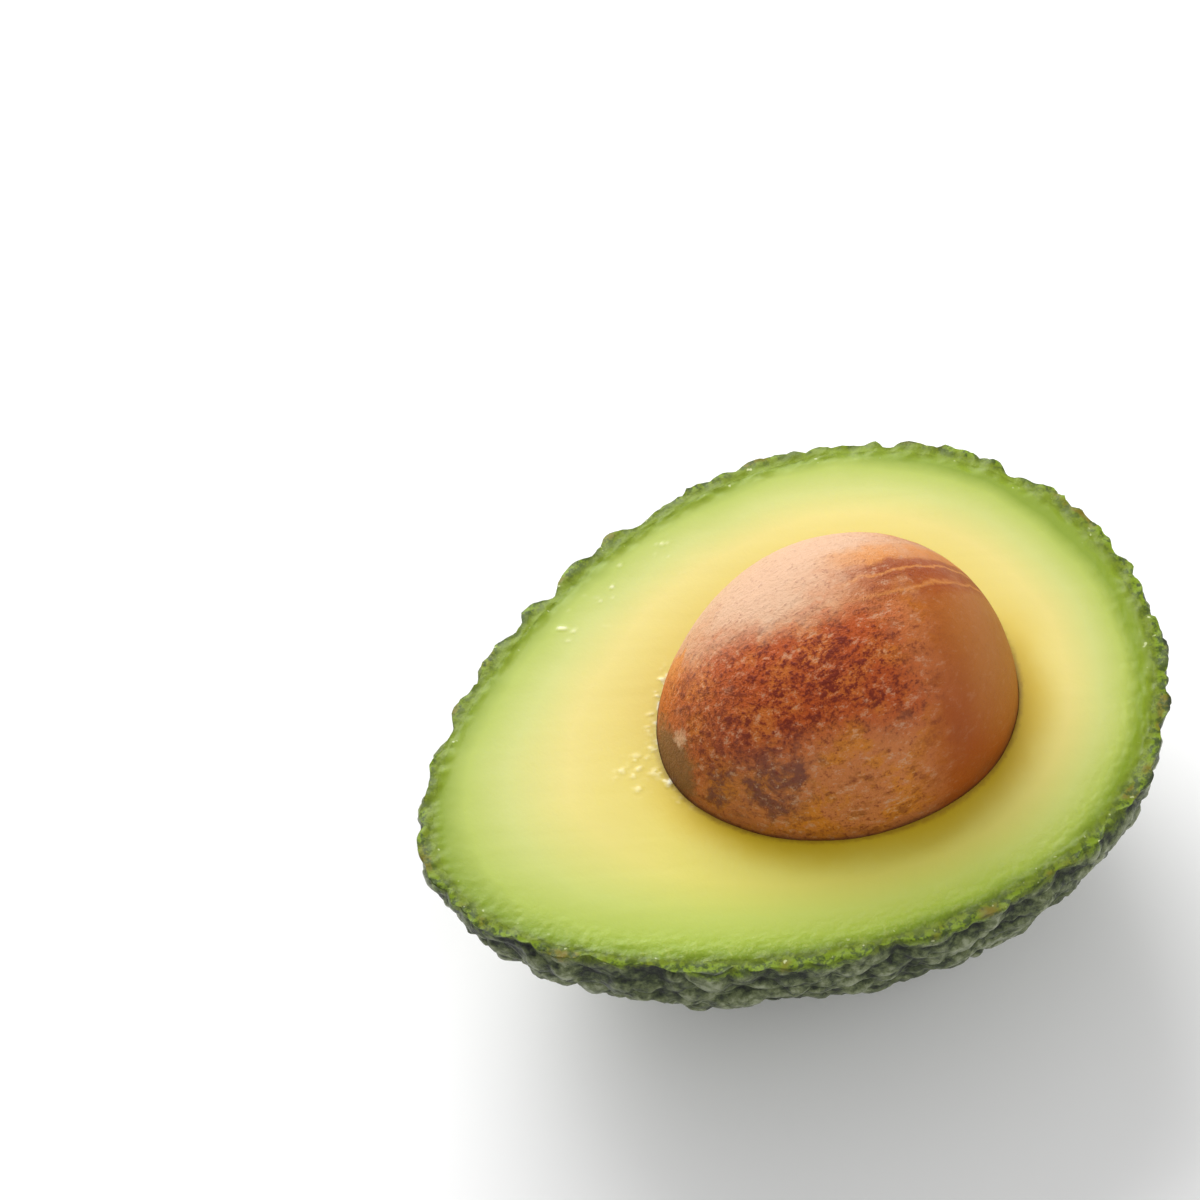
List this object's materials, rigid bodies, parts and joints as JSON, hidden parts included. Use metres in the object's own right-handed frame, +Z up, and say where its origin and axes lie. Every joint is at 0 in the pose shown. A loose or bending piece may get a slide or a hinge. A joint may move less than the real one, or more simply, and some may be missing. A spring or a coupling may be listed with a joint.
{
  "type": "halved avocado",
  "caption": "Half of an avocado cut lengthwise, lying on its back with the seed still seated in the level cut face.",
  "frame": {"origin": "under the middle of the fruit's bounding box, on the surface that the back rests on", "axes": "+X along the fruit to its broad end, +Y across the cut face, +Z up out of the cut face"},
  "size_m": [0.0974, 0.0724, 0.0558],
  "materials": {
    "skin": "dark green pebbled skin with a dull waxy sheen, lime green where it is cut",
    "flesh": "soft moist cut flesh, butter yellow at the seed and green at the rim",
    "seed": "satin brown seed coat with dark mottling and fine veins"
  },
  "bodies": {
    "root": {"skin": "skin", "flesh": "flesh", "seed": "seed"}
  },
  "joints": []
}
